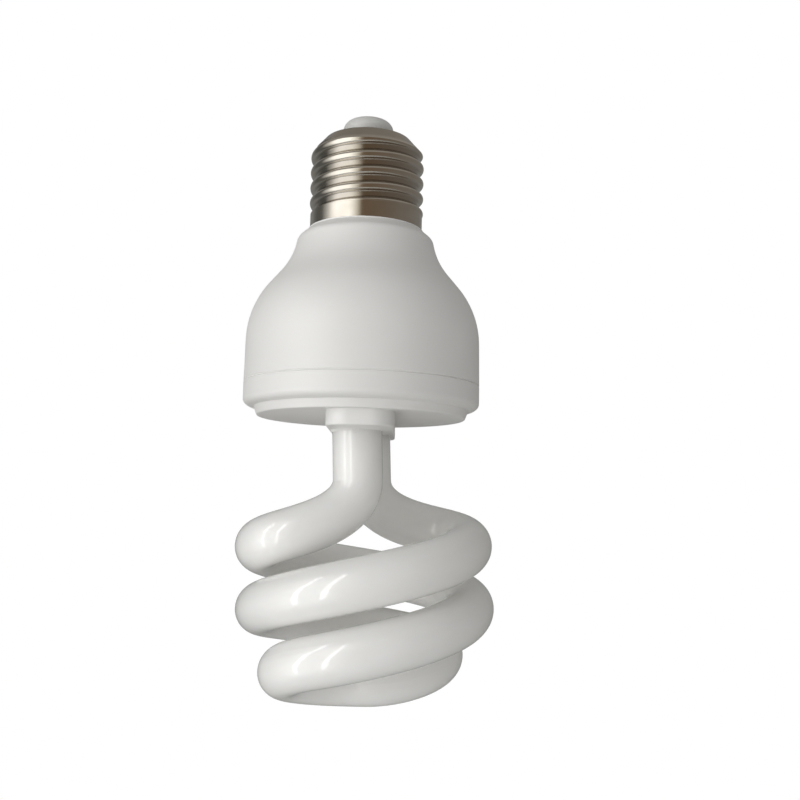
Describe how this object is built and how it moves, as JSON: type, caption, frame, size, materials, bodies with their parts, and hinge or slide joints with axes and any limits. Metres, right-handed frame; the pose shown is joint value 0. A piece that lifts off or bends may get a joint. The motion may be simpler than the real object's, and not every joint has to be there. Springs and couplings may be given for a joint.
{
  "type": "reptile uvb bulb",
  "caption": "Compact fluorescent UVB reptile lamp: opal double-helix tube on a flared white ballast housing with a nickel E27 screw cap.",
  "frame": {"origin": "tip of the centre contact, on the cap's axis; the lamp hangs below it", "axes": "+Z along the cap's axis into the lampholder; +X to the right of the picture's view; -Y towards its camera"},
  "size_m": [0.0578, 0.0572, 0.1344],
  "materials": {
    "nickel_shell": "bright nickel plate on pressed brass",
    "insulator_white": "smooth grey-white",
    "tinned_contact": "tinned",
    "housing_white": "satin moulded",
    "holder_white": "satin moulded",
    "phosphor_glass": "gloss glass over an opal white phosphor",
    "cement": "matt white cement",
    "board": "paper laminate",
    "capacitor_sleeve": "dark sleeve",
    "ferrite": "ground ferrite",
    "winding_tape": "yellow tape",
    "enamelled_wire": "enamelled copper",
    "moulded_black": "moulded epoxy",
    "resistor_lacquer": "lacquered",
    "diac_glass": "lacquered",
    "dipped_green": "dipped",
    "dipped_brown": "dipped",
    "lead_sleeve": "woven sleeve"
  },
  "bodies": {
    "root": {"screw_shell": "nickel_shell", "cap_insulator": "insulator_white", "centre_contact": "tinned_contact", "upper_housing": "housing_white", "tube_holder": "holder_white", "discharge_tube": "phosphor_glass", "tube_cement": "cement", "ballast_board": "board", "electrolytic_capacitor": "capacitor_sleeve", "choke_core": "ferrite", "choke_winding": "winding_tape", "toroid_core": "ferrite", "toroid_windings": "enamelled_wire", "switching_transistors": "moulded_black", "rectifier_diodes": "moulded_black", "ballast_resistors": "resistor_lacquer", "starting_diac": "diac_glass", "film_capacitors": "dipped_green", "resonant_capacitor": "dipped_brown", "filter_choke": "ferrite", "fusible_resistor": "resistor_lacquer", "live_lead": "lead_sleeve", "neutral_lead": "lead_sleeve", "wrap_pins": "tinned_contact", "filament_leads": "enamelled_wire"}
  },
  "joints": []
}
